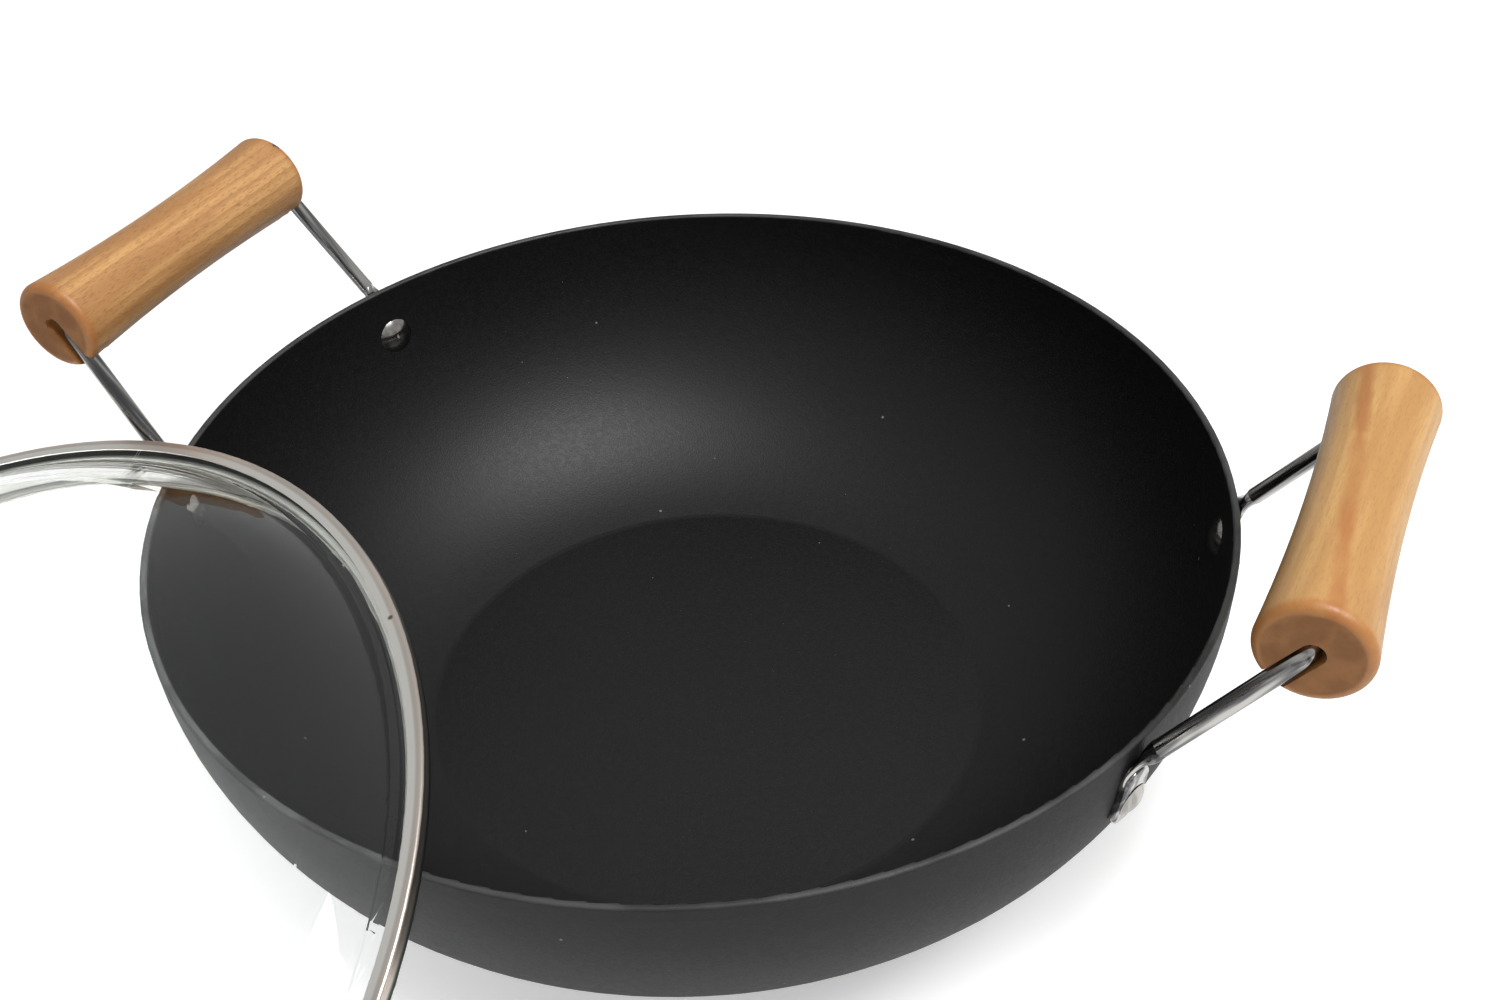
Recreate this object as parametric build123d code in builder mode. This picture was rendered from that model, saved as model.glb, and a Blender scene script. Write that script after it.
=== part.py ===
from build123d import *
import os
from math import acos, asin, atan2, cos, degrees, radians, sin, sqrt

# Two-handled carbon steel wok with its glass lid leaning on the rim, as it is put down while cooking.
# Millimetres, +Z up. The origin is the centre of the flat floor, on the table that the wok stands on.
# The two handles stand on the X axis, and the lid leans in from the front left.

os.makedirs("parts", exist_ok=True)

# Bowl: one pressing of sheet steel
rim_radius = 160.0
floor_radius = 91.0
wall_curve_radius = 90.0
rim_land = 4.7
sheet_thickness = 2.2
crease_radius = 8.0
rim_round = 0.9

# Bails: round rod bent to a U, each end flattened to a tab that lies on the wall
rod_diameter = 5.0
leg_top_offset = 50.0
leg_foot_offset = 54.0
bend_radius = 6.0
leg_bend_drop = 6.0
neck_length = 7.0
neck_lift = 0.4
tab_offset = 54.9
tab_width = 10.0
tab_thickness = 2.2
tab_head_room = 1.6
tab_tail = 9.5
tab_edge_round = 0.6

# Grips: turned beech on the straight of each bail
grip_stand_off = 25.0
grip_rise = 40.1
grip_half_length = 52.5
grip_end_radius = 14.3
grip_waist_radius = 12.4
grip_edge_round = 2.5
bore_clearance = 0.3
slot_side_clearance = 0.6
slot_depth = 10.0
right_grip_shift = 0.9
left_grip_shift = -1.5

# Rivets: domed head inside the bowl, low upset head on the tab
rivet_drop = 19.0
rivet_shank_diameter = 5.0
rivet_hole_clearance = 0.05
rivet_head_diameter = 12.8
rivet_head_height = 2.2
rivet_tail_diameter = 10.0
rivet_tail_height = 1.8
seat_gap = 0.03

# Lid glass: flat flange held in the band, steep shoulder, shallow crown
glass_thickness = 3.6
flange_width = 8.5
flange_fillet = 3.0
shoulder_radius = 45.0
shoulder_slope = 50.0
crown_radius = 330.0
glass_hole_diameter = 9.0
glass_gap = 0.1
glass_edge_round = 0.8

# Lid band: one strip of stainless sheet rolled round the flange, with a skirt that drops inside the rim
band_sheet = 0.45
band_overhang = 3.0
band_bend_radius = 0.6
lip_width = 3.7
skirt_clearance = 0.7
skirt_depth = 8.2
hem_radius = 0.85
hem_curl_radius = 0.65
hem_curl_turn = 100.0

# Knob: turned beech on a dished plate, clamped through the glass by a screw and a threaded insert
knob_foot_radius = 13.0
knob_waist_radius = 10.5
knob_waist_height = 9.0
knob_head_radius = 20.0
knob_head_height = 22.0
knob_crown_rise = 7.0
knob_edge_round = 4.0
plate_radius = 21.0
plate_rise = 3.4
plate_sheet = 0.8
plate_bend_radius = 2.0
insert_diameter = 9.0
insert_length = 15.0
insert_gap = 0.03
screw_diameter = 5.0
screw_head_diameter = 11.0
screw_head_height = 2.6
screw_head_round = 0.8
screw_slot_width = 1.4
screw_slot_depth = 1.2
screw_engagement = 12.0
thread_gap = 0.05
seal_diameter = 20.0
seal_thickness = 1.6
seal_neck_gap = 0.15
seal_neck_height = 2.8
washer_diameter = 17.0
washer_thickness = 1.0

# Steam vent: a steel eyelet clenched through the glass
vent_radius = 78.0
vent_bearing = 220.0
vent_bore = 3.4
vent_tube_wall = 0.6
vent_flange_diameter = 11.0
vent_flange_thickness = 0.7

# How the lid leans: its bearing round the wok, how far past its middle it meets the rim, as a share of
# the hem circle's radius, and the air left where it rests
lean_bearing = 239.2
lean_share = 0.8163
lean_rim_gap = 0.45
lean_table_gap = 0.3

# Cuts run this far past the faces that they break
overrun = 5.0


def at_bearing(radius, height, bearing):
    """Point at a radius and height on a bearing round the upright axis."""
    return Vector(radius * cos(radians(bearing)), radius * sin(radians(bearing)), height)


# Places on the bowl that the handles and the lid take their own places from
wall_centre_radius = rim_radius - wall_curve_radius
wall_centre_height = sqrt(wall_curve_radius**2 - (floor_radius - wall_centre_radius) ** 2)
rim_height = wall_centre_height + rim_land
inner_rim_radius = rim_radius - sheet_thickness


def bowl_section(skin):
    """Half section of the bowl's sheet in the XZ plane, grown by a skin on both faces."""
    outer_curve = wall_curve_radius + skin
    inner_curve = wall_curve_radius - sheet_thickness - skin
    under = wall_centre_height + skin
    over = wall_centre_height - sheet_thickness - skin
    outer_start = degrees(asin(under / outer_curve))
    inner_start = degrees(asin(over / inner_curve))
    with BuildSketch(Plane.XZ) as section:
        with BuildLine():
            centre = (wall_centre_radius, wall_centre_height)
            outer_wall = CenterArc(centre, outer_curve, -outer_start, outer_start)
            inner_wall = CenterArc(centre, inner_curve, -inner_start, inner_start)
            axis_under = (0, wall_centre_height - under)
            axis_over = (0, wall_centre_height - over)
            outer_lip = Line(outer_wall @ 1, (rim_radius + skin, rim_height + skin))
            inner_lip = Line(inner_wall @ 1, (inner_rim_radius - skin, rim_height + skin))
            Line(outer_lip @ 1, inner_lip @ 1)
            Line(inner_wall @ 0, axis_over)
            Line(outer_wall @ 0, axis_under)
            Line(axis_over, axis_under)
        make_face()
        creases = section.vertices().sort_by_distance(outer_wall @ 0)[:1]
        creases += section.vertices().sort_by_distance(inner_wall @ 0)[:1]
        fillet(creases, crease_radius)
        fillet(section.vertices().group_by(Axis.Y)[-1], rim_round)
    return section.sketch


# Frame of one rivet: on the outside of the wall, looking straight out of it
rivet_height = rim_height - rivet_drop
rivet_dip = asin((wall_centre_height - rivet_height) / wall_curve_radius)
tab_middle_curve = wall_curve_radius + seat_gap + tab_thickness / 2
tab_middle_radius = wall_centre_radius + tab_middle_curve * cos(rivet_dip)
rivet_bearing = degrees(asin(tab_offset / tab_middle_radius))
rivet_radial = at_bearing(1, 0, rivet_bearing)
rivet_tangent = at_bearing(1, 0, rivet_bearing + 90)
rivet_out = rivet_radial * cos(rivet_dip) - Vector(0, 0, sin(rivet_dip))
rivet_seat = at_bearing(wall_centre_radius + wall_curve_radius * cos(rivet_dip), rivet_height, rivet_bearing)
rivet_plane = Plane(origin=rivet_seat, x_dir=rivet_tangent, z_dir=rivet_out)
rivet_side_plane = Plane(origin=rivet_seat, x_dir=rivet_out, z_dir=rivet_tangent)
upright_plane = Plane(origin=(0, 0, 0), x_dir=rivet_radial, z_dir=-rivet_tangent)
rivet_hole_radius = rivet_shank_diameter / 2 + rivet_hole_clearance

# Bowl: the section turned about the upright axis, with a hole for each rivet
wall_blank = bowl_section(0)
with BuildPart() as wok_bowl:
    add(wall_blank)
    revolve(axis=Axis.Z)
    with BuildSketch(rivet_plane) as rivet_hole:
        Circle(rivet_hole_radius)
    hole_tools = extrude(amount=sheet_thickness + overrun, both=True, mode=Mode.PRIVATE)
    for tool in (hole_tools, mirror(hole_tools, about=Plane.XZ, mode=Mode.PRIVATE)):
        add(tool, mode=Mode.SUBTRACT)
        add(mirror(tool, about=Plane.YZ, mode=Mode.PRIVATE), mode=Mode.SUBTRACT)
wok_bowl.part.label = "wok_bowl"
export_step(wok_bowl.part, "parts/wok_bowl.step")

# The rod's route: straight through the grip, bent down at both ends, legs leaning in to the wall and
# spreading a little as they go down
grip_height = rim_height + grip_rise
tab_bend_height = rim_height - leg_bend_drop
tab_bend_dip = asin((wall_centre_height - tab_bend_height) / tab_middle_curve)
tab_bend_radius = wall_centre_radius + tab_middle_curve * cos(tab_bend_dip)
tab_bend = at_bearing(tab_bend_radius, tab_bend_height, degrees(asin(leg_foot_offset / tab_bend_radius)))
grip_reach = rim_radius + grip_stand_off
bail_run = Vector(grip_reach - tab_bend.X, 0, grip_height - tab_bend.Z)
bail_up = bail_run.normalized()
bail_plane = Plane(origin=(grip_reach, 0, grip_height), x_dir=(0, 1, 0), z_dir=Vector(0, 1, 0).cross(bail_up))
leg_run = Vector(0, leg_top_offset - leg_foot_offset, 0) + bail_run
leg_up = leg_run.normalized()
leg_share = neck_length / leg_run.length
leg_end_offset = leg_foot_offset + (leg_top_offset - leg_foot_offset) * leg_share
leg_end_depth = bail_run.length * (1 - leg_share)

# Where the flattened tab begins: a stadium above and below the rivet, measured up the wall
tab_crown = rivet_tail_diameter / 2 + tab_head_room
neck_root_dip = rivet_dip - tab_crown / tab_middle_curve
neck_root_radius = wall_centre_radius + tab_middle_curve * cos(neck_root_dip)
neck_root_height = wall_centre_height - tab_middle_curve * sin(neck_root_dip)
neck_root = at_bearing(neck_root_radius, neck_root_height, rivet_bearing)
neck_root_up = rivet_radial * sin(neck_root_dip) + Vector(0, 0, cos(neck_root_dip))
neck_root_plane = Plane(origin=neck_root, x_dir=rivet_tangent, z_dir=neck_root_up)
neck_middle_plane = Plane(
    origin=tab_bend + rivet_radial * neck_lift, x_dir=rivet_tangent, z_dir=(neck_root_up + leg_up).normalized()
)
neck_top_plane = Plane(origin=tab_bend + leg_up * neck_length, x_dir=(0, 1, 0), z_dir=leg_up)
neck_root_share = 0.88
neck_flat_length = 3.0
neck_flat_plane = Plane(origin=tab_bend + leg_up * neck_flat_length, x_dir=(0, 1, 0), z_dir=leg_up)
neck_flat_width_share = 0.66
neck_flat_depth_share = 0.74

# Tab: sheet that follows the wall's curve, cut to a round-ended outline
with BuildPart() as tab:
    with BuildSketch(upright_plane) as tab_section:
        with BuildLine():
            centre = (wall_centre_radius, wall_centre_height)
            low = -degrees(rivet_dip) - degrees((tab_tail + overrun) / wall_curve_radius)
            high = -degrees(rivet_dip) + degrees((tab_crown + tab_width) / wall_curve_radius)
            under_face = CenterArc(centre, wall_curve_radius + seat_gap, low, high - low)
            outer_face = CenterArc(centre, wall_curve_radius + seat_gap + tab_thickness, low, high - low)
            Line(under_face @ 0, outer_face @ 0)
            Line(under_face @ 1, outer_face @ 1)
        make_face()
    extrude(amount=tab_width, both=True)
    with BuildSketch(rivet_plane) as tab_outline:
        with Locations((0, (tab_crown - tab_tail + tab_width / 2) / 2)):
            SlotOverall(tab_crown + tab_tail + tab_width / 2, tab_width, rotation=90)
    extrude(amount=tab_width, both=True, mode=Mode.INTERSECT)
    fillet(tab.faces().sort_by(Axis(rivet_seat, rivet_out))[-1].edges(), tab_edge_round)
    with BuildSketch(rivet_plane) as tab_hole:
        Circle(rivet_hole_radius)
    extrude(amount=tab_width, both=True, mode=Mode.SUBTRACT)

# Neck: the round rod pressed flat as it comes down on to the tab
with BuildPart() as neck:
    with BuildSketch(neck_root_plane):
        Ellipse(tab_width / 2 * neck_root_share, tab_thickness / 2 * neck_root_share)
    with BuildSketch(neck_middle_plane):
        Ellipse(tab_width / 2 * neck_root_share, tab_thickness / 2)
    with BuildSketch(neck_flat_plane):
        Ellipse(tab_width / 2 * neck_flat_width_share, rod_diameter / 2 * neck_flat_depth_share)
    with BuildSketch(neck_top_plane):
        Circle(rod_diameter / 2)
    loft()

# Right bail: rod, necks and tabs are one piece of steel
with BuildPart() as right_bail:
    with BuildLine(bail_plane) as route:
        FilletPolyline(
            (-leg_end_offset, -leg_end_depth),
            (-leg_top_offset, 0),
            (leg_top_offset, 0),
            (leg_end_offset, -leg_end_depth),
            radius=bend_radius,
        )
    with BuildSketch(Plane(origin=route.line @ 0, z_dir=route.line % 0)):
        Circle(rod_diameter / 2)
    sweep()
    for foot in (neck.part, tab.part):
        add(foot)
        mirror(foot, about=Plane.XZ)
right_bail.part.label = "right_bail"
export_step(right_bail.part, "parts/right_bail.step")

# Left bail: the same bent rod on the other side
with BuildPart() as left_bail:
    mirror(right_bail.part, about=Plane.YZ)
left_bail.part.label = "left_bail"
export_step(left_bail.part, "parts/left_bail.step")

# Right grip: waisted turning, bored for the rod, slotted at both ends for its bends
bore_radius = rod_diameter / 2 + bore_clearance
slot_width = rod_diameter + slot_side_clearance * 2
grip_centre = Vector(grip_reach, right_grip_shift, grip_height)
with BuildPart() as right_grip:
    with BuildSketch(Plane(origin=grip_centre, x_dir=(0, 1, 0), z_dir=(1, 0, 0))) as grip_section:
        with BuildLine():
            side = Spline(
                (-grip_half_length, grip_end_radius),
                (0, grip_waist_radius),
                (grip_half_length, grip_end_radius),
            )
            wall_of_bore = Line((-grip_half_length, bore_radius), (grip_half_length, bore_radius))
            Line(side @ 0, wall_of_bore @ 0)
            Line(side @ 1, wall_of_bore @ 1)
        make_face()
        fillet(grip_section.vertices().group_by(Axis.Y)[-1], grip_edge_round)
    revolve(axis=Axis(grip_centre, (0, 1, 0)))
    for end in (-1, 1):
        end_point = grip_centre + Vector(0, end * grip_half_length, 0)
        with BuildSketch(Plane(origin=end_point, x_dir=bail_up, z_dir=(0, end, 0))):
            Circle(slot_width / 2)
            with Locations((-(grip_end_radius + overrun) / 2, 0)):
                Rectangle(grip_end_radius + overrun, slot_width)
        extrude(amount=-slot_depth, mode=Mode.SUBTRACT)
right_grip.part.label = "right_grip"
export_step(right_grip.part, "parts/right_grip.step")

# Left grip: the same turning on the other bail, where it has slid the other way along the rod
with BuildPart() as left_grip:
    opposite = mirror(right_grip.part, about=Plane.YZ, mode=Mode.PRIVATE)
    add(Pos(0, left_grip_shift - right_grip_shift, 0) * opposite)
left_grip.part.label = "left_grip"
export_step(left_grip.part, "parts/left_grip.step")


def cap_radius(reach, rise):
    """Radius of the sphere whose cap has this half width and this rise."""
    return (reach**2 + rise**2) / (rise * 2)


# Rivets: both heads turned about the rivet's axis, the inner one seated on the hollow of the wall
seat_blank = bowl_section(seat_gap)
with BuildPart() as wall_tool:
    add(seat_blank)
    revolve(axis=Axis.Z)
tail_seat = tab_thickness + seat_gap * 2
with BuildPart() as bail_rivets:
    with BuildSketch(rivet_side_plane) as head_section:
        with BuildLine():
            head_foot = -sheet_thickness / 2
            head_rim = -sheet_thickness - seat_gap
            head_top = -sheet_thickness - rivet_head_height
            head_curve = cap_radius(rivet_head_diameter / 2, head_rim - head_top)
            dome = RadiusArc((head_rim, rivet_head_diameter / 2), (head_top, 0), -head_curve)
            Polyline(
                dome @ 1,
                (head_foot, 0),
                (head_foot, rivet_head_diameter / 2),
                dome @ 0,
            )
        make_face()
    revolve(axis=Axis(rivet_seat, rivet_out))
    add(wall_tool.part, mode=Mode.SUBTRACT)
    with BuildSketch(rivet_side_plane):
        with BuildLine():
            tail_top = tail_seat + rivet_tail_height
            tail_curve = cap_radius(rivet_tail_diameter / 2, rivet_tail_height)
            upset = RadiusArc((tail_seat, rivet_tail_diameter / 2), (tail_top, 0), tail_curve)
            Polyline(upset @ 1, (tail_seat, 0), upset @ 0)
        make_face()
    revolve(axis=Axis(rivet_seat, rivet_out))
    with BuildSketch(rivet_plane.offset(-sheet_thickness - rivet_head_height / 2)):
        Circle(rivet_shank_diameter / 2)
    extrude(amount=sheet_thickness + rivet_head_height / 2 + tail_seat + rivet_tail_height / 2)
    mirror(about=Plane.XZ)
    mirror(about=Plane.YZ)
bail_rivets.part.label = "bail_rivets"
export_step(bail_rivets.part, "parts/bail_rivets.step")

# How the lid lies: the hem of its skirt rests on the table and on two places of the bowl's rim
skirt_radius = inner_rim_radius - skirt_clearance - band_sheet / 2
hem_circle_radius = skirt_radius - hem_radius
hem_thickness = hem_radius + band_sheet / 2
hem_drop = (rim_height + lean_rim_gap - lean_table_gap) / (1 + lean_share)
tilt = asin(hem_drop / hem_circle_radius)
crossing_half_width = hem_circle_radius * sqrt(1 - lean_share**2)
crossing_distance = sqrt(rim_radius**2 - crossing_half_width**2)
hem_centre_distance = crossing_distance + hem_circle_radius * cos(tilt) * lean_share
hem_centre_height = lean_table_gap + hem_thickness + hem_drop
lid_up = at_bearing(sin(tilt), cos(tilt), lean_bearing)
lid_side = at_bearing(1, 0, lean_bearing + 90)
lid_seat = at_bearing(hem_centre_distance, hem_centre_height, lean_bearing) + lid_up * skirt_depth
lid_plane = Plane(origin=lid_seat, x_dir=lid_side, z_dir=lid_up)
lid_section_plane = Plane(origin=lid_seat, x_dir=lid_side, z_dir=lid_side.cross(lid_up))
lid_axis = Axis(lid_seat, lid_up)

# Heights in the lid's own frame, from the ledge that sits on the rim when the lid is on
flange_height = band_sheet + glass_gap
flange_top = flange_height + glass_thickness
glass_radius = rim_radius + band_overhang - band_sheet - glass_gap
shoulder_foot = glass_radius - flange_width
shoulder_x = shoulder_foot - shoulder_radius * sin(radians(shoulder_slope))
shoulder_z = flange_height - shoulder_radius * cos(radians(shoulder_slope))
crown_z = shoulder_z - sqrt((crown_radius - shoulder_radius) ** 2 - shoulder_x**2)
crown_slope = degrees(asin(shoulder_x / (crown_radius - shoulder_radius)))
glass_under = crown_z + crown_radius
glass_top = glass_under + glass_thickness

# Steam vent: on the crown, square to the glass
vent_slope = asin(vent_radius / crown_radius)
vent_outward = lid_side * cos(radians(vent_bearing)) + lid_up.cross(lid_side) * sin(radians(vent_bearing))
vent_up = vent_outward * sin(vent_slope) + lid_up * cos(vent_slope)
vent_plane = Plane(origin=lid_seat + lid_up * crown_z + vent_up * crown_radius, z_dir=vent_up)
vent_tube_radius = vent_bore / 2 + vent_tube_wall

# Lid glass: flange, shoulder and crown in one section, turned about the lid's axis
with BuildPart() as lid_glass:
    with BuildSketch(lid_section_plane) as glass_section:
        with BuildLine():
            shoulder_centre = (shoulder_x, shoulder_z)
            crown_centre = (0, crown_z)
            outer_shoulder = shoulder_radius + glass_thickness
            outer_slope = degrees(acos((flange_top - shoulder_z) / outer_shoulder))
            under_crown = CenterArc(crown_centre, crown_radius, 90, -crown_slope)
            under_shoulder = CenterArc(
                shoulder_centre, shoulder_radius, 90 - crown_slope, crown_slope - shoulder_slope
            )
            over_crown = CenterArc(crown_centre, crown_radius + glass_thickness, 90, -crown_slope)
            over_shoulder = CenterArc(
                shoulder_centre, outer_shoulder, 90 - crown_slope, crown_slope - outer_slope
            )
            Polyline(
                under_shoulder @ 1,
                (glass_radius, flange_height),
                (glass_radius, flange_top),
                over_shoulder @ 1,
            )
            Line(under_crown @ 0, over_crown @ 0)
        make_face()
        fillet(glass_section.vertices().sort_by_distance(under_shoulder @ 1)[:1], flange_fillet)
        fillet(glass_section.vertices().sort_by_distance(over_shoulder @ 1)[:1], flange_fillet)
        fillet(glass_section.vertices().group_by(Axis.X)[-1], glass_edge_round)
    revolve(axis=lid_axis)
    with BuildSketch(lid_plane.offset(glass_under - overrun)):
        Circle(glass_hole_diameter / 2)
    extrude(amount=glass_thickness + overrun * 2, mode=Mode.SUBTRACT)
    with BuildSketch(vent_plane.offset(-overrun)):
        Circle(vent_tube_radius + glass_gap)
    extrude(amount=glass_thickness + overrun * 2, mode=Mode.SUBTRACT)
lid_glass.part.label = "lid_glass"
export_step(lid_glass.part, "parts/lid_glass.step")

# Lid band: one sheet line, from the lip over the glass to the hem, which turns in and curls up tighter
lip_height = flange_top + glass_gap + band_sheet / 2
ledge_height = band_sheet / 2
band_radius = rim_radius + band_overhang - band_sheet / 2
with BuildPart() as lid_band:
    with BuildSketch(lid_section_plane) as band_section:
        with BuildLine():
            sheet_line = FilletPolyline(
                (band_radius - lip_width, lip_height),
                (band_radius, lip_height),
                (band_radius, ledge_height),
                (skirt_radius, ledge_height),
                (skirt_radius, -skirt_depth),
                radius=band_bend_radius,
            )
            CenterArc((hem_circle_radius, -skirt_depth), hem_radius, 0, -90)
            CenterArc(
                (hem_circle_radius, -skirt_depth - hem_radius + hem_curl_radius),
                hem_curl_radius,
                -90,
                -hem_curl_turn,
            )
        trace(line_width=band_sheet)
    revolve(axis=lid_axis)
lid_band.part.label = "lid_band"
export_step(lid_band.part, "parts/lid_band.step")

# Knob plate: a dished steel disc whose rim stands on the crown and carries the knob's foot
screw_hole_radius = screw_diameter / 2 + thread_gap
plate_edge = plate_radius - plate_sheet / 2
plate_foot = crown_z + sqrt((crown_radius + glass_thickness) ** 2 - plate_edge**2) + plate_sheet / 2
plate_middle = glass_top + plate_rise - plate_sheet / 2
with BuildPart() as lid_knob_plate:
    with BuildSketch(lid_section_plane):
        with BuildLine():
            FilletPolyline(
                (screw_hole_radius, plate_middle),
                (plate_edge - plate_rise, plate_middle),
                (plate_edge, plate_foot + seat_gap),
                radius=plate_bend_radius,
            )
        trace(line_width=plate_sheet)
    revolve(axis=lid_axis)
lid_knob_plate.part.label = "lid_knob_plate"
export_step(lid_knob_plate.part, "parts/lid_knob_plate.step")

# Knob: waisted foot, wide head, flat elliptical crown, and a blind hole for the insert
knob_seat = glass_top + plate_rise + seat_gap
insert_radius = insert_diameter / 2
with BuildPart() as lid_knob:
    with BuildSketch(lid_section_plane) as knob_section:
        with BuildLine():
            head_edge = (knob_head_radius, knob_seat + knob_head_height)
            Bezier(
                (knob_foot_radius, knob_seat),
                (knob_waist_radius * 2 - knob_foot_radius, knob_seat + knob_waist_height),
                (knob_head_radius, knob_seat + knob_waist_height),
                head_edge,
            )
            crown_curve = cap_radius(knob_head_radius, knob_crown_rise)
            crown_line = RadiusArc(head_edge, (0, knob_seat + knob_head_height + knob_crown_rise), -crown_curve)
            Polyline(crown_line @ 1, (0, knob_seat), (knob_foot_radius, knob_seat))
        make_face()
        fillet(knob_section.vertices().group_by(Axis.X)[-1], knob_edge_round)
    revolve(axis=lid_axis)
    with BuildSketch(lid_plane.offset(knob_seat)):
        Circle(insert_radius)
    extrude(amount=insert_length + insert_gap, mode=Mode.SUBTRACT)
lid_knob.part.label = "lid_knob"
export_step(lid_knob.part, "parts/lid_knob.step")

# Insert: a threaded sleeve pressed into the foot of the knob
with BuildPart() as lid_knob_insert:
    with BuildSketch(lid_plane.offset(knob_seat)):
        Circle(insert_radius - insert_gap)
        Circle(screw_hole_radius, mode=Mode.SUBTRACT)
    extrude(amount=insert_length)
lid_knob_insert.part.label = "lid_knob_insert"
export_step(lid_knob_insert.part, "parts/lid_knob_insert.step")

# Seal: a soft washer under the glass, with a neck that centres the screw in the hole
seal_top = crown_z + sqrt(crown_radius**2 - (seal_diameter / 2) ** 2) - seat_gap
with BuildPart() as lid_knob_seal:
    with BuildSketch(lid_plane.offset(seal_top - seal_thickness)):
        Circle(seal_diameter / 2)
    extrude(amount=seal_thickness)
    with BuildSketch(lid_plane.offset(seal_top)):
        Circle(glass_hole_diameter / 2 - seal_neck_gap)
    extrude(amount=seal_neck_height)
    with BuildSketch(lid_plane.offset(seal_top - seal_thickness)):
        Circle(screw_hole_radius)
    extrude(amount=seal_thickness + seal_neck_height, mode=Mode.SUBTRACT)
lid_knob_seal.part.label = "lid_knob_seal"
export_step(lid_knob_seal.part, "parts/lid_knob_seal.step")

# Washer: flat steel ring between the seal and the screw's head
washer_top = seal_top - seal_thickness - seat_gap
with BuildPart() as lid_knob_washer:
    with BuildSketch(lid_plane.offset(washer_top - washer_thickness)):
        Circle(washer_diameter / 2)
        Circle(screw_hole_radius, mode=Mode.SUBTRACT)
    extrude(amount=washer_thickness)
lid_knob_washer.part.label = "lid_knob_washer"
export_step(lid_knob_washer.part, "parts/lid_knob_washer.step")

# Screw: slotted pan head under the washer, shank up through the glass into the insert
screw_seat = washer_top - washer_thickness - seat_gap
screw_length = knob_seat + screw_engagement - screw_seat
with BuildPart() as lid_knob_screw:
    with BuildSketch(lid_plane.offset(screw_seat - screw_head_height)):
        Circle(screw_head_diameter / 2)
    extrude(amount=screw_head_height)
    fillet(lid_knob_screw.faces().sort_by(lid_axis)[0].edges(), screw_head_round)
    with BuildSketch(lid_plane.offset(screw_seat - screw_head_height)):
        Rectangle(screw_head_diameter + overrun, screw_slot_width)
    extrude(amount=screw_slot_depth, mode=Mode.SUBTRACT)
    with BuildSketch(lid_plane.offset(screw_seat)):
        Circle(screw_diameter / 2)
    extrude(amount=screw_length)
lid_knob_screw.part.label = "lid_knob_screw"
export_step(lid_knob_screw.part, "parts/lid_knob_screw.step")

# Vent eyelet: a tube with a flange clenched on each side of the glass
flange_reach = vent_flange_diameter / 2
with BuildPart() as lid_vent_eyelet:
    with BuildSketch(vent_plane.offset(-vent_flange_thickness - glass_gap)):
        Circle(flange_reach)
    extrude(amount=vent_flange_thickness)
    with BuildSketch(vent_plane.offset(glass_thickness + glass_gap)):
        Circle(flange_reach)
    extrude(amount=vent_flange_thickness)
    with BuildSketch(vent_plane.offset(-vent_flange_thickness - glass_gap)):
        Circle(vent_tube_radius)
    extrude(amount=glass_thickness + (vent_flange_thickness + glass_gap) * 2)
    with BuildSketch(vent_plane.offset(-vent_flange_thickness - glass_gap)):
        Circle(vent_bore / 2)
    extrude(amount=glass_thickness + (vent_flange_thickness + glass_gap) * 2, mode=Mode.SUBTRACT)
lid_vent_eyelet.part.label = "lid_vent_eyelet"
export_step(lid_vent_eyelet.part, "parts/lid_vent_eyelet.step")
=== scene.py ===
"""A black carbon steel wok with two wire bail handles and a glass lid leaning on its rim."""
import math

import bpy
from mathutils import Matrix, Vector


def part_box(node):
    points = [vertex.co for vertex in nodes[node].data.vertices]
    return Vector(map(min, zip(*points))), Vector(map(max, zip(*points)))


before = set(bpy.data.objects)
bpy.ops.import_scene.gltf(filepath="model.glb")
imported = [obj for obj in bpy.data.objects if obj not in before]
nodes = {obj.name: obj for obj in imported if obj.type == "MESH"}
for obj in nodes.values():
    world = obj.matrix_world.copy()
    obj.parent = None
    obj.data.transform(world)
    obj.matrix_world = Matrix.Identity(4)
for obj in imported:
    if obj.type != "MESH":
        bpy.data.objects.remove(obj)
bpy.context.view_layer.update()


# Bowl: one disc of 2.2 mm carbon steel, drawn to a curved wall round a flat base. It is
# sprayed inside and out with a satin black non-stick coating and baked. The cut rim shows
# a thinner, greyer edge of the coating, rubbed in places.
def new_material(name):
    """A new material, returned with its tree and its Principled shader."""
    material = bpy.data.materials.new(name)
    material.use_nodes = True
    tree = material.node_tree
    shader = tree.nodes["Principled BSDF"]
    return material, tree, shader


def fill(tree, node, inputs):
    """Gives a node's sockets, by name or number, their values, or links them to other sockets."""
    for key, value in inputs.items():
        if isinstance(value, bpy.types.NodeSocket):
            tree.links.new(value, node.inputs[key])
        else:
            node.inputs[key].default_value = value


def put(tree, kind, inputs=None, **settings):
    """Adds a shader node with these settings and these inputs."""
    node = tree.nodes.new(kind)
    for key, value in settings.items():
        setattr(node, key, value)
    fill(tree, node, inputs or {})
    return node


def object_place(tree):
    """The place on the piece, in metres."""
    return put(tree, "ShaderNodeTexCoord").outputs["Object"]


def math_node(tree, operation, a, b=0.0, c=0.0):
    """One arithmetic step on up to three values, any of which may be a socket."""
    return put(tree, "ShaderNodeMath", {0: a, 1: b, 2: c}, operation=operation).outputs[0]


def vector_node(tree, operation, a, b=(0.0, 0.0, 0.0)):
    """One vector step, returned as its node: outputs[0] is a vector, outputs["Value"] a number."""
    return put(tree, "ShaderNodeVectorMath", {0: a, 1: b}, operation=operation)


def noise(tree, place, per_metre, detail):
    """Noise with about this many features to the metre."""
    inputs = {"Vector": place, "Scale": per_metre, "Detail": detail}
    return put(tree, "ShaderNodeTexNoise", inputs).outputs["Fac"]


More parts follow.
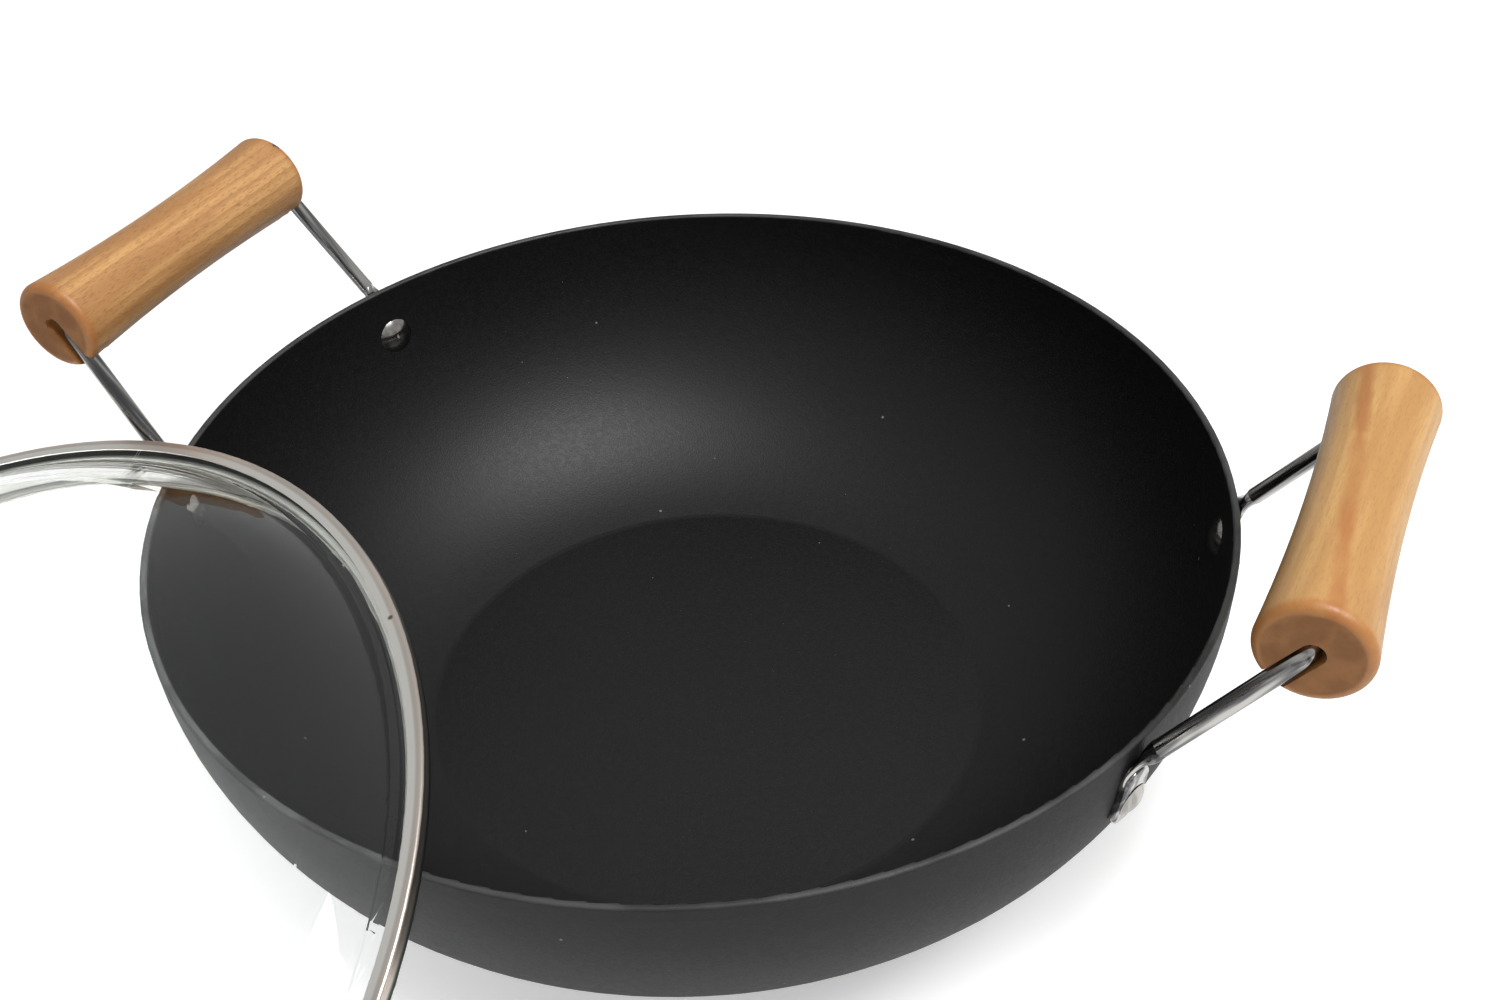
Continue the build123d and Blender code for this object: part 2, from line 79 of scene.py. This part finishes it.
def ramp(tree, value, low, high, out_low=0.0, out_high=1.0):
    """Value carried from the span low..high to out_low..out_high, smoothed and held at both ends."""
    inputs = {0: value, 1: low, 2: high, 3: out_low, 4: out_high}
    return put(tree, "ShaderNodeMapRange", inputs, interpolation_type="SMOOTHSTEP").outputs[0]


def tint(tree, factor, a, b):
    """Colour a turned towards colour b by factor."""
    return put(tree, "ShaderNodeMix", {0: factor, 6: a, 7: b}, data_type="RGBA").outputs[2]


def rgb(r, g, b):
    """Linear colour from eight-bit screen values: the share of 255, plus 0.055, over 1.055, to the power
    2.4, or for the darkest values the share over 12.92."""
    linear = [((v / 255 + 0.055) / 1.055) ** 2.4 if v > 10.3 else v / 255 / 12.92 for v in (r, g, b)]
    return (*linear, 1.0)


def relief(tree, shader, height, strength, depth):
    """Bump of this depth, in metres, on the shader's normal."""
    bump = put(tree, "ShaderNodeBump", {"Strength": strength, "Distance": depth, "Height": height})
    tree.links.new(bump.outputs[0], shader.inputs["Normal"])


def new_group(name, inputs, outputs):
    """A shader node group with named inputs {name: (socket type, default)} and outputs {name: type}."""
    group = bpy.data.node_groups.new(name, "ShaderNodeTree")
    for key, (kind, default) in inputs.items():
        socket = group.interface.new_socket(name=key, in_out="INPUT", socket_type=kind)
        if default is not None:
            socket.default_value = default
    for key, kind in outputs.items():
        group.interface.new_socket(name=key, in_out="OUTPUT", socket_type=kind)
    enter = group.nodes.new("NodeGroupInput")
    leave = group.nodes.new("NodeGroupOutput")
    return group, enter, leave


def use(tree, group, inputs):
    """Places a node group in a material."""
    node = tree.nodes.new("ShaderNodeGroup")
    node.node_tree = group
    fill(tree, node, inputs)
    return node


def dress(node, material):
    """Gives a node of the part its one material."""
    nodes[node].data.materials.clear()
    nodes[node].data.materials.append(material)


# Fine grain is two sizes of noise added, for sprayed, turned and moulded surfaces
FLOAT, VECTOR, COLOUR = "NodeSocketFloat", "NodeSocketVector", "NodeSocketColor"
fine_share, coarse_share, coarse_to_fine = 0.7, 0.3, 0.28
grain_group, enter, leave = new_group(
    "fine_grain", {"Vector": (VECTOR, None), "Per metre": (FLOAT, 1500.0)}, {"Value": FLOAT})
fine = put(grain_group, "ShaderNodeTexNoise", {
    "Vector": enter.outputs["Vector"], "Scale": enter.outputs["Per metre"],
    "Detail": 2.0, "Roughness": 0.6}).outputs["Fac"]
coarse_scale = math_node(grain_group, "MULTIPLY", enter.outputs["Per metre"], coarse_to_fine)
coarse = noise(grain_group, enter.outputs["Vector"], coarse_scale, 1.0)
fine_part = math_node(grain_group, "MULTIPLY", fine, fine_share)
mixed = math_node(grain_group, "MULTIPLY_ADD", coarse, coarse_share, fine_part)
grain_group.links.new(mixed, leave.inputs["Value"])

# Specks are sparse pale points of dust and tiny rubs, one to a cell in a small share of the cells
speck_group, enter, leave = new_group(
    "specks", {"Vector": (VECTOR, None), "Per metre": (FLOAT, 300.0), "Share": (FLOAT, 0.1),
               "Size": (FLOAT, 0.1)}, {"Mask": FLOAT})
cell = put(speck_group, "ShaderNodeTexVoronoi", {
    "Vector": enter.outputs["Vector"], "Scale": enter.outputs["Per metre"], "Randomness": 1.0})
chance = put(speck_group, "ShaderNodeSeparateColor", {0: cell.outputs["Color"]})
chosen = math_node(speck_group, "LESS_THAN", chance.outputs[0], enter.outputs["Share"])
span = math_node(speck_group, "MULTIPLY", enter.outputs["Size"], chance.outputs[1])
near = math_node(speck_group, "LESS_THAN", cell.outputs["Distance"], span)
speck_group.links.new(math_node(speck_group, "MULTIPLY", chosen, near), leave.inputs["Mask"])

coating_black, coating_cloud, coating_grain = rgb(11, 11, 12), rgb(14, 14, 15), rgb(23, 23, 24)
rubbed_rim, dust_grey = rgb(62, 63, 62), rgb(140, 140, 138)
grain_per_metre, clouds_per_metre, rubs_per_metre = 1700.0, 14.0, 60.0
grain_strength, grain_depth = 0.32, 0.0003
dust_per_metre, dust_share, dust_size, dust_strength = 210.0, 0.05, 0.11, 0.55
rim_wear_from, rim_wear_full = 0.0009, 0.0002
satin_smooth, satin_rough, outside_rougher = 0.42, 0.52, 0.14
coating_reflection = 0.31
bowl_middle = (0.0, 0.0, 0.1)

coating, tree, shader = new_material("satin_black_coating")
place = object_place(tree)
grain = use(tree, grain_group, {"Vector": place, "Per metre": grain_per_metre}).outputs["Value"]
specks = use(tree, speck_group, {
    "Vector": place, "Per metre": dust_per_metre, "Share": dust_share, "Size": dust_size})
dust = math_node(tree, "MULTIPLY", specks.outputs["Mask"], dust_strength)
height = put(tree, "ShaderNodeSeparateXYZ", {0: place}).outputs[2]
rim_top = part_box("wok_bowl")[1].z
rim_near = ramp(tree, height, rim_top - rim_wear_from, rim_top - rim_wear_full)
rubs = ramp(tree, noise(tree, place, rubs_per_metre, 4.0), 0.35, 0.6, 0.4, 1.0)
rim_worn = math_node(tree, "MULTIPLY", rim_near, rubs)
clouds = ramp(tree, noise(tree, place, clouds_per_metre, 3.0), 0.3, 0.7)
tone = tint(tree, clouds, coating_black, coating_cloud)
tone = tint(tree, ramp(tree, grain, 0.35, 0.7, 0.0, 0.6), tone, coating_grain)
tone = tint(tree, rim_worn, tone, rubbed_rim)
tone = tint(tree, dust, tone, dust_grey)
tree.links.new(tone, shader.inputs["Base Color"])

# The inside, whose faces look at the middle of the bowl, is smoother than the outside
facing = put(tree, "ShaderNodeNewGeometry").outputs["True Normal"]
to_middle = vector_node(tree, "SUBTRACT", bowl_middle, place).outputs[0]
inward = vector_node(tree, "DOT_PRODUCT", facing, to_middle).outputs["Value"]
inside = math_node(tree, "GREATER_THAN", inward, 0.0)
rougher = math_node(tree, "MULTIPLY_ADD", inside, -outside_rougher, outside_rougher)
satin = ramp(tree, grain, 0.3, 0.7, satin_smooth, satin_rough)
tree.links.new(math_node(tree, "ADD", rougher, satin), shader.inputs["Roughness"])
shader.inputs["Specular IOR Level"].default_value = coating_reflection
relief(tree, shader, grain, grain_strength, grain_depth)
dress("wok_bowl", coating)


# Bails and rivets: 5 mm drawn steel rod, bent to a handle, its two ends forged to flat tabs,
# all of it polished. Each tab is held by one polished rivet with a domed head inside the bowl.
line_group, enter, leave = new_group(
    "drawn_lines_and_painted_reflections", {"Vector": (VECTOR, None), "Stretch": (VECTOR, (1.0, 1.0, 0.02)),
                    "Per metre": (FLOAT, 2500.0)}, {"Value": FLOAT})
longer = vector_node(line_group, "MULTIPLY", enter.outputs["Vector"], enter.outputs["Stretch"]).outputs[0]
lines = noise(line_group, longer, enter.outputs["Per metre"], 2.0)
line_group.links.new(lines, leave.inputs["Value"])

# The rods' and rivets' two tones are painted reflections, bright and dark streaks along them
rod_bright_reflection, rod_dark_reflection = rgb(186, 184, 180), rgb(88, 88, 90)
rivet_bright_reflection, rivet_dark_reflection = rgb(178, 175, 170), rgb(150, 147, 143)
leg_lean = math.radians(35)
lines_per_metre, along_rod = 420.0, (1.0, 1.0, 0.04)
haze_per_metre, polish_clear, polish_hazy = 120.0, 0.10, 0.20
line_strength, line_depth = 0.06, 0.0001


def polished(name, bright, dull, lean):
    """Polished steel with lengthwise lines along a rod that leans by this angle out from the upright;
    the lines are its bump, and in its colour they are painted reflections that turn it between its bright
    and its dull tone. Both handles read one pattern, mirrored."""
    material, tree, shader = new_material(name)
    place = object_place(tree)
    axes = put(tree, "ShaderNodeSeparateXYZ", {0: place})
    mirrored = math_node(tree, "ABSOLUTE", axes.outputs[0])
    folded = put(tree, "ShaderNodeCombineXYZ", {0: mirrored, 1: axes.outputs[1], 2: axes.outputs[2]})
    leant = put(tree, "ShaderNodeMapping", {"Vector": folded.outputs[0], "Rotation": (0.0, -lean, 0.0)})
    lines = use(tree, line_group, {
        "Vector": leant.outputs[0], "Stretch": along_rod, "Per metre": lines_per_metre}).outputs["Value"]
    tree.links.new(tint(tree, ramp(tree, lines, 0.40, 0.62), bright, dull), shader.inputs["Base Color"])
    haze = ramp(tree, noise(tree, place, haze_per_metre, 3.0), 0.3, 0.7, polish_clear, polish_hazy)
    tree.links.new(haze, shader.inputs["Roughness"])
    shader.inputs["Metallic"].default_value = 1.0
    relief(tree, shader, lines, line_strength, line_depth)
    return material


rod_steel = polished("polished_rod", rod_bright_reflection, rod_dark_reflection, leg_lean)
rivet_steel = polished("polished_rivets", rivet_bright_reflection, rivet_dark_reflection, 0.0)
dress("right_bail", rod_steel)
dress("left_bail", rod_steel)
dress("bail_rivets", rivet_steel)


# Grips: turned beech, waisted, bored for the rod and slotted at both ends so that they pass
# over its bends. Finished with a thin matt lacquer; the turned edge is burnt a little darker.
fleck_brown = rgb(122, 76, 42)
fibres_per_metre, flecks_per_metre, streaks_per_metre, rings_per_metre = 1300.0, 3000.0, 150.0, 95.0
fibre_along, fleck_along, streak_along = 0.04, 0.13, 0.07
fibre_share, lacquer_smooth, lacquer_rough = 0.35, 0.40, 0.52
wood_group, enter, leave = new_group(
    "beech",
    {"Vector": (VECTOR, None), "Light": (COLOUR, rgb(214, 165, 110)), "Dark": (COLOUR, rgb(186, 134, 84)),
     "Fleck": (FLOAT, 0.5), "Rings": (FLOAT, 0.3)},
    {"Color": COLOUR, "Roughness": FLOAT, "Height": FLOAT})
early_wood, late_wood = enter.outputs["Light"], enter.outputs["Dark"]


def stretched(per_metre, along, detail):
    """Noise of the wood group, with this many features to the metre across and fewer along the grain."""
    drawn = vector_node(wood_group, "MULTIPLY", enter.outputs["Vector"], (1.0, along, 1.0)).outputs[0]
    return noise(wood_group, drawn, per_metre, detail)


fibre = stretched(fibres_per_metre, fibre_along, 3.0)
flecks = stretched(flecks_per_metre, fleck_along, 1.0)
streak = stretched(streaks_per_metre, streak_along, 3.0)
rings = put(wood_group, "ShaderNodeTexWave", {
    "Vector": enter.outputs["Vector"], "Scale": rings_per_metre, "Distortion": 1.6, "Detail": 2.0,
    "Detail Scale": 0.5}, wave_type="RINGS", rings_direction="Y", wave_profile="SAW").outputs["Fac"]
base = tint(wood_group, ramp(wood_group, streak, 0.36, 0.66), early_wood, late_wood)
ring_near = ramp(wood_group, rings, 0.35, 0.95)
ring_share = math_node(wood_group, "MULTIPLY", ring_near, enter.outputs["Rings"])
ringed = tint(wood_group, ring_share, base, late_wood)
fibred = tint(wood_group, ramp(wood_group, fibre, 0.45, 0.75, 0.0, fibre_share), ringed, late_wood)
fleck_near = ramp(wood_group, flecks, 0.55, 0.66)
fleck_share = math_node(wood_group, "MULTIPLY", fleck_near, enter.outputs["Fleck"])
lacquer = ramp(wood_group, fibre, 0.3, 0.7, lacquer_smooth, lacquer_rough)
pores = math_node(wood_group, "SUBTRACT", fibre, fleck_share)
wood_group.links.new(tint(wood_group, fleck_share, fibred, fleck_brown), leave.inputs["Color"])
wood_group.links.new(lacquer, leave.inputs["Roughness"])
wood_group.links.new(pores, leave.inputs["Height"])

heart_red, burnt_edge = rgb(160, 98, 48), rgb(162, 100, 46)
end_shaded_light, end_shaded_dark = rgb(152, 106, 68), rgb(122, 82, 50)
uneven_per_metre, wander_per_metre, breaks_per_metre = 130.0, 90.0, 28.0
end_skin, face_depth, edge_width, edge_uneven = 0.0002, 0.0009, 0.0028, 0.0024
face_margin, face_uneven = 0.0024, 0.0012
streak_wander, streak_soft = 0.30, 0.18
streak_strength, edge_strength, face_strength, face_rougher = 0.75, 0.65, 0.75, 0.4
grip_strength, grip_depth = 0.3, 0.0002


def off_line(tree, value, line):
    """How far a value is from a line, whichever side it is on."""
    return math_node(tree, "ABSOLUTE", math_node(tree, "SUBTRACT", value, line))


def beech_grip(name, node, light, dark, fleck, rings, pith, turn, streak_bearing, streak_width,
               streak_drift=0.0):
    """Beech of one grip. The pattern is centred on the grip's own axis, with the tree's pith beside it, so
    that the two grips are cut differently. The rounded edges are burnt orange, the end faces show dull
    end grain painted darker with shade, and one reddish streak runs along the grip on a bearing round its
    axis, drifting sideways."""
    material, tree, shader = new_material(name)
    low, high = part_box(node)
    centre = (low + high) / 2
    half = (high.y - low.y) / 2
    reach = (high.z - low.z) / 2
    own = put(tree, "ShaderNodeMapping", {
        "Vector": object_place(tree), "Location": (-centre.x, -centre.y, -centre.z)}).outputs[0]
    turned = put(tree, "ShaderNodeMapping", {"Vector": own, "Location": pith, "Rotation": turn}).outputs[0]
    wood = use(tree, wood_group, {
        "Vector": turned, "Light": light, "Dark": dark, "Fleck": fleck, "Rings": rings})
    axes = put(tree, "ShaderNodeSeparateXYZ", {0: own})
    along = math_node(tree, "ABSOLUTE", axes.outputs[1])
    across = put(tree, "ShaderNodeCombineXYZ", {0: axes.outputs[0], 1: 0.0, 2: axes.outputs[2]})
    radius = vector_node(tree, "LENGTH", across.outputs[0]).outputs["Value"]
    uneven = noise(tree, own, uneven_per_metre, 3.0)
    uneven_radius = math_node(tree, "MULTIPLY_ADD", uneven, face_uneven, radius)
    flat = ramp(tree, uneven_radius, reach - face_margin, reach - face_margin / 2, 1.0, 0.0)
    at_end = ramp(tree, along, half - face_depth, half - end_skin)
    face = math_node(tree, "MULTIPLY", flat, at_end)
    uneven_along = math_node(tree, "MULTIPLY_ADD", uneven, edge_uneven, along)
    edge = ramp(tree, uneven_along, half - edge_width, half - end_skin)
    angle = math_node(tree, "ARCTAN2", axes.outputs[2], axes.outputs[0])
    bearing = math_node(tree, "MULTIPLY_ADD", axes.outputs[1], streak_drift, streak_bearing)
    off_streak = off_line(tree, angle, bearing)
    wander = noise(tree, own, wander_per_metre, 5.0)
    wavy = math_node(tree, "MULTIPLY_ADD", wander, streak_wander, off_streak)
    heart = ramp(tree, wavy, streak_width, streak_width + streak_soft, streak_strength, 0.0)
    broken = ramp(tree, noise(tree, own, breaks_per_metre, 2.0), 0.36, 0.60, 0.35, 1.0)
    tone = tint(tree, math_node(tree, "MULTIPLY", heart, broken), wood.outputs["Color"], heart_red)
    tone = tint(tree, math_node(tree, "MULTIPLY", edge, edge_strength), tone, burnt_edge)
    # The end faces are end grain, darkened further with painted shade
    end_grain_and_shade = tint(tree, ramp(tree, uneven, 0.35, 0.65), end_shaded_light, end_shaded_dark)
    tone = tint(tree, math_node(tree, "MULTIPLY", face, face_strength), tone, end_grain_and_shade)
    tree.links.new(tone, shader.inputs["Base Color"])
    roughness = math_node(tree, "MULTIPLY_ADD", face, face_rougher, wood.outputs["Roughness"])
    tree.links.new(roughness, shader.inputs["Roughness"])
    relief(tree, shader, wood.outputs["Height"], grip_strength, grip_depth)
    dress(node, material)
    return tree, shader, own, tone


beech_grip(
    "right_grip_beech", "right_grip", light=rgb(194, 151, 94), dark=rgb(174, 129, 76),
    fleck=0.18, rings=0.35, pith=(0.060, 0.020, 0.045), turn=(0.05, 0.5, 0.06),
    streak_bearing=1.745, streak_width=0.20, streak_drift=6.95)
tree, shader, own, tone = beech_grip(
    "left_grip_beech", "left_grip", light=rgb(198, 151, 96), dark=rgb(168, 120, 71),
    fleck=0.42, rings=0.75, pith=(0.030, 0.110, 0.020), turn=(0.13, 1.9, 0.11),
    streak_bearing=-0.75, streak_width=0.16)

# A chip is out of the left grip's far edge, where the dark bare wood shows
chip_across, chip_inset, chip_up = 0.0060, 0.0008, 0.0120
chip_size, chip_soft, chips_per_metre = 0.0028, 0.0006, 700.0
bare_wood = rgb(58, 46, 36)
left_low, left_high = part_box("left_grip")
left_half = (left_high.y - left_low.y) / 2
chip_place = (chip_across, left_half - chip_inset, chip_up)
from_chip = vector_node(tree, "DISTANCE", own, chip_place).outputs["Value"]
ragged = math_node(tree, "MULTIPLY_ADD", noise(tree, own, chips_per_metre, 2.0), chip_size, from_chip)
chip = ramp(tree, ragged, chip_size, chip_size + chip_soft, 1.0, 0.0)
tree.links.new(tint(tree, chip, tone, bare_wood), shader.inputs["Base Color"])


# Lid glass: 3.6 mm tempered glass, pressed to a dome with a flat flange that the steel band grips.
# It is clear with a faint green cast. Its index is set below real glass's 1.5, because at 1.5 the
# white studio lays more haze on it than the photograph shows.
glass_index = 1.27
clear_cast, green_cast = (0.985, 0.995, 0.99, 1.0), (0.97, 0.985, 0.98, 1.0)
shadow_cast = (0.92, 0.94, 0.93, 1.0)
casts_per_metre = 9.0

lid_clear, tree, shader = new_material("clear_glass")
shader.inputs["Transmission Weight"].default_value = 1.0
shader.inputs["IOR"].default_value = glass_index
shader.inputs["Roughness"].default_value = 0.0
cast = noise(tree, object_place(tree), casts_per_metre, 2.0)
tree.links.new(tint(tree, cast, clear_cast, green_cast), shader.inputs["Base Color"])
pass_light = put(tree, "ShaderNodeBsdfTransparent", {"Color": shadow_cast})
ray = put(tree, "ShaderNodeLightPath")
either = put(tree, "ShaderNodeMixShader", {
    0: ray.outputs["Is Shadow Ray"], 1: shader.outputs[0], 2: pass_light.outputs[0]})
tree.links.new(either.outputs[0], tree.nodes["Material Output"].inputs["Surface"])
dress("lid_glass", lid_clear)


# Lid band, knob plate, washer, screw and vent eyelet: rolled and pressed stainless steel with a
# fine satin. The band is one 0.45 mm strip rolled round the glass's edge, with its lip on top and
# its skirt below, and its two ends are butt-welded.
lid_seat, lid_up = (-0.13072, -0.21928, 0.05998), (-0.16689, -0.27996, 0.94539)
clouds_per_metre = 30.0
skirt_light, skirt_dull, skirt_roughness = rgb(210, 210, 204), rgb(194, 194, 188), 0.42
# The lip's tones are painted reflections
lip_warm_reflection, lip_dull_reflection, lip_pale_reflection = rgb(222, 211, 200), rgb(206, 197, 187), rgb(232, 230, 224)
lip_pale_radius, lip_warm_radius, lip_roughness = 0.1606, 0.1620, 0.30
lip_foot, lip_full = 0.0012, 0.0026

band_steel, tree, shader = new_material("satin_stainless")
place = object_place(tree)
cloud = noise(tree, place, clouds_per_metre, 3.0)
cloudy = ramp(tree, cloud, 0.35, 0.65)

# Level and radius on the lid are measured from the middle of its ledge, along the way it faces
from_seat = vector_node(tree, "SUBTRACT", place, lid_seat).outputs[0]
level = vector_node(tree, "DOT_PRODUCT", from_seat, lid_up).outputs["Value"]
on_axis = put(tree, "ShaderNodeVectorMath", {0: lid_up, "Scale": level}, operation="SCALE").outputs[0]
radius = vector_node(tree, "DISTANCE", from_seat, on_axis).outputs["Value"]
on_lip = ramp(tree, level, lip_foot, lip_full)

# Below the lip, painted shade darkens the ledge under the glass's edge, tinted green like that edge, and
# the fold above the hem
ledge_painted_shade, ledge_radius, ledge_soft = rgb(70, 78, 72), 0.1586, 0.0006
fold_painted_shade, fold_level, fold_line, fold_soft = rgb(60, 62, 60), -0.0072, 0.0002, 0.0006
on_ledge = ramp(tree, radius, ledge_radius, ledge_radius + ledge_soft)
on_fold = ramp(tree, off_line(tree, level, fold_level), fold_line, fold_soft, 0.8, 0.0)
skirt = tint(tree, cloudy, skirt_light, skirt_dull)
skirt = tint(tree, on_ledge, skirt, ledge_painted_shade)
skirt = tint(tree, on_fold, skirt, fold_painted_shade)

# The lip's colour is painted reflection, warm at its outer bend and paler on its flat, with a soft line of
# painted shade between the two
roll_painted_shade, roll_radius, roll_line, roll_soft = rgb(140, 136, 130), 0.1614, 0.0001, 0.0007
on_flat = ramp(tree, radius, lip_pale_radius, lip_warm_radius, 1.0, 0.0)
on_roll = ramp(tree, off_line(tree, radius, roll_radius), roll_line, roll_soft, 0.25, 0.0)
lip = tint(tree, cloudy, lip_warm_reflection, lip_dull_reflection)
lip = tint(tree, on_flat, lip, lip_pale_reflection)
lip = tint(tree, on_roll, lip, roll_painted_shade)
tone = tint(tree, on_lip, skirt, lip)

# The weld is painted on the skirt as two thin highlights along its edges
seam_place, seam_across = (-0.1500, -0.0684, 0.1000), (-0.9781, -0.0736, -0.1945)
seam_highlight, seam_half_gap, seam_line, seam_soft = rgb(252, 252, 250), 0.00045, 0.00008, 0.00018
seam_reach, seam_end = 0.016, 0.018
from_weld = vector_node(tree, "SUBTRACT", place, seam_place).outputs[0]
aside = vector_node(tree, "DOT_PRODUCT", from_weld, seam_across).outputs["Value"]
from_seam = off_line(tree, math_node(tree, "ABSOLUTE", aside), seam_half_gap)
away = vector_node(tree, "LENGTH", from_weld).outputs["Value"]
highlight_line = ramp(tree, from_seam, seam_line, seam_soft, 1.0, 0.0)
near_weld = ramp(tree, away, seam_reach, seam_end, 1.0, 0.0)
seam = math_node(tree, "MULTIPLY", highlight_line, near_weld)
seam = math_node(tree, "MULTIPLY", seam, math_node(tree, "SUBTRACT", 1.0, on_lip))
tone = tint(tree, seam, tone, seam_highlight)

# One small smear of rust-brown is left on the band
smear_place, smear_brown = (-0.0284, -0.1083, 0.1159), rgb(92, 66, 38)
smear_core, smear_edge, smear_uneven = 0.0007, 0.0013, 0.0006
from_smear = vector_node(tree, "DISTANCE", place, smear_place).outputs["Value"]
uneven_smear = math_node(tree, "MULTIPLY_ADD", cloud, smear_uneven, from_smear)
smear = ramp(tree, uneven_smear, smear_core, smear_edge, 0.85, 0.0)
tone = tint(tree, smear, tone, smear_brown)

roughness = ramp(tree, level, lip_foot, lip_full, skirt_roughness, lip_roughness)
tree.links.new(tone, shader.inputs["Base Color"])
tree.links.new(roughness, shader.inputs["Roughness"])
shader.inputs["Metallic"].default_value = 1.0
for name in ("lid_band", "lid_knob_plate", "lid_knob_washer", "lid_knob_screw", "lid_vent_eyelet"):
    dress(name, band_steel)


# Knob, insert and seal: the knob is turned beech like the grips, on a threaded brass insert that
# takes the screw from under the glass. A dark silicone seal keeps the screw's washer off the glass.
knob_light, knob_dark, knob_fleck, knob_rings = rgb(214, 165, 110), rgb(190, 138, 86), 0.5, 0.3
knob_strength, knob_depth = 0.35, 0.0002
brass_light, brass_dark, brass_grain, brass_roughness = rgb(206, 172, 104), rgb(176, 140, 78), 900.0, 0.3
seal_dark, seal_light, seal_grain, seal_roughness = rgb(34, 34, 35), rgb(52, 52, 53), 700.0, 0.6

knob_wood, tree, shader = new_material("knob_beech")
wood = use(tree, wood_group, {
    "Vector": object_place(tree), "Light": knob_light, "Dark": knob_dark, "Fleck": knob_fleck,
    "Rings": knob_rings})
tree.links.new(wood.outputs["Color"], shader.inputs["Base Color"])
tree.links.new(wood.outputs["Roughness"], shader.inputs["Roughness"])
relief(tree, shader, wood.outputs["Height"], knob_strength, knob_depth)
dress("lid_knob", knob_wood)


def grained(name, low_tone, high_tone, per_metre, roughness):
    """An even material whose tone follows the fine grain, from its low tone to its high one."""
    material, tree, shader = new_material(name)
    grain = use(tree, grain_group, {"Vector": object_place(tree), "Per metre": per_metre}).outputs["Value"]
    tree.links.new(tint(tree, grain, low_tone, high_tone), shader.inputs["Base Color"])
    shader.inputs["Roughness"].default_value = roughness
    return material, shader


brass, shader = grained("turned_brass", brass_light, brass_dark, brass_grain, brass_roughness)
shader.inputs["Metallic"].default_value = 1.0
silicone, shader = grained("dark_silicone", seal_dark, seal_light, seal_grain, seal_roughness)
dress("lid_knob_insert", brass)
dress("lid_knob_seal", silicone)


# Studio: a wide white paper floor, a white surround that darkens overhead, and one soft box above.
# The camera, also through the glass, sees both as white. They light the wok less than that, and
# reflections see the floor and the surround overhead a little brighter than they light it.
white = (1.0, 1.0, 1.0, 1.0)
floor_half = 6.0
paper_grey, paper_roughness = (0.80, 0.80, 0.80, 1.0), 0.9
near_distance, far_distance, near_glow, far_glow, mirror_glow = 0.6, 2.6, 0.42, 0.75, 0.18

floor_mesh = bpy.data.meshes.new("studio_floor")
corners = [(x * floor_half, y * floor_half, 0) for x, y in ((-1, -1), (1, -1), (1, 1), (-1, 1))]
floor_mesh.from_pydata(corners, [], [(0, 1, 2, 3)])
floor = bpy.data.objects.new("studio_floor", floor_mesh)
bpy.context.scene.collection.objects.link(floor)
paper, tree, shader = new_material("white_paper")
shader.inputs["Base Color"].default_value = paper_grey
shader.inputs["Roughness"].default_value = paper_roughness
shader.inputs["Emission Color"].default_value = white
ray = put(tree, "ShaderNodeLightPath")
seen = math_node(tree, "MAXIMUM", ray.outputs["Is Camera Ray"], ray.outputs["Is Transmission Ray"])
away = vector_node(tree, "LENGTH", object_place(tree)).outputs["Value"]
whitening = ramp(tree, away, near_distance, far_distance, near_glow, far_glow)
glow = math_node(tree, "MULTIPLY", seen, whitening)
glow = math_node(tree, "MULTIPLY_ADD", ray.outputs["Is Glossy Ray"], mirror_glow, glow)
tree.links.new(glow, shader.inputs["Emission Strength"])
floor_mesh.materials.append(paper)

side_light, top_light, mirror_top = 0.46, 0.30, 0.25
fade_from, fade_to = 0.10, 0.50
world = bpy.data.worlds.new("studio")
bpy.context.scene.world = world
world.use_nodes = True
tree = world.node_tree
way = put(tree, "ShaderNodeTexCoord").outputs["Generated"]
up = put(tree, "ShaderNodeSeparateXYZ", {0: way}).outputs[2]
ray = put(tree, "ShaderNodeLightPath")
seen = math_node(tree, "MAXIMUM", ray.outputs["Is Camera Ray"], ray.outputs["Is Transmission Ray"])
overhead = math_node(tree, "MULTIPLY_ADD", ray.outputs["Is Glossy Ray"], mirror_top, top_light)
fade = ramp(tree, up, fade_from, fade_to, side_light, overhead)
strength = put(tree, "ShaderNodeMix", {0: seen, 2: fade, 3: 1.0}, data_type="FLOAT").outputs[0]
tree.links.new(strength, tree.nodes["Background"].inputs["Strength"])
tree.nodes["Background"].inputs["Color"].default_value = white

box_place, box_side, box_power = Vector((0.66, -0.12, 1.45)), 0.8, 28.0
lamp = bpy.data.lights.new("overhead_box", "AREA")
lamp.shape = "RECTANGLE"
lamp.size, lamp.size_y, lamp.energy = box_side, box_side, box_power
soft_box = bpy.data.objects.new("overhead_box", lamp)
soft_box.location = box_place
soft_box.rotation_euler = (-box_place).to_track_quat("-Z", "Y").to_euler()
bpy.context.scene.collection.objects.link(soft_box)

# Camera: at the photograph's place and with its lens, found from the rim, the crease round the
# base and both handles. Its lens is a focal length in pixels of the 1500-pixel-wide frame.
frame_width, focal_pixels, sensor_width = 1500, 1672.77, 36.0
azimuth, elevation, roll = math.radians(26.92), math.radians(38.547), math.radians(-2.794)
camera_place = (0.19539, -0.34620, 0.39772)
nearest = 0.01
camera = bpy.data.cameras.new("camera")
camera.sensor_width = sensor_width
camera.lens = sensor_width * focal_pixels / frame_width
camera.clip_start = nearest
out = math.cos(elevation)
back = Vector((math.sin(azimuth) * out, -math.cos(azimuth) * out, math.sin(elevation)))
level = (-back).cross(Vector((0, 0, 1))).normalized()
above = level.cross(-back)
right = level * math.cos(roll) + above * math.sin(roll)
top = above * math.cos(roll) - level * math.sin(roll)
turned = Matrix((right, top, back)).transposed().to_4x4()
view = bpy.data.objects.new("camera", camera)
view.matrix_world = Matrix.Translation(camera_place) @ turned
bpy.context.scene.collection.objects.link(view)
bpy.context.scene.camera = view
bpy.context.scene.view_settings.view_transform = "Standard"
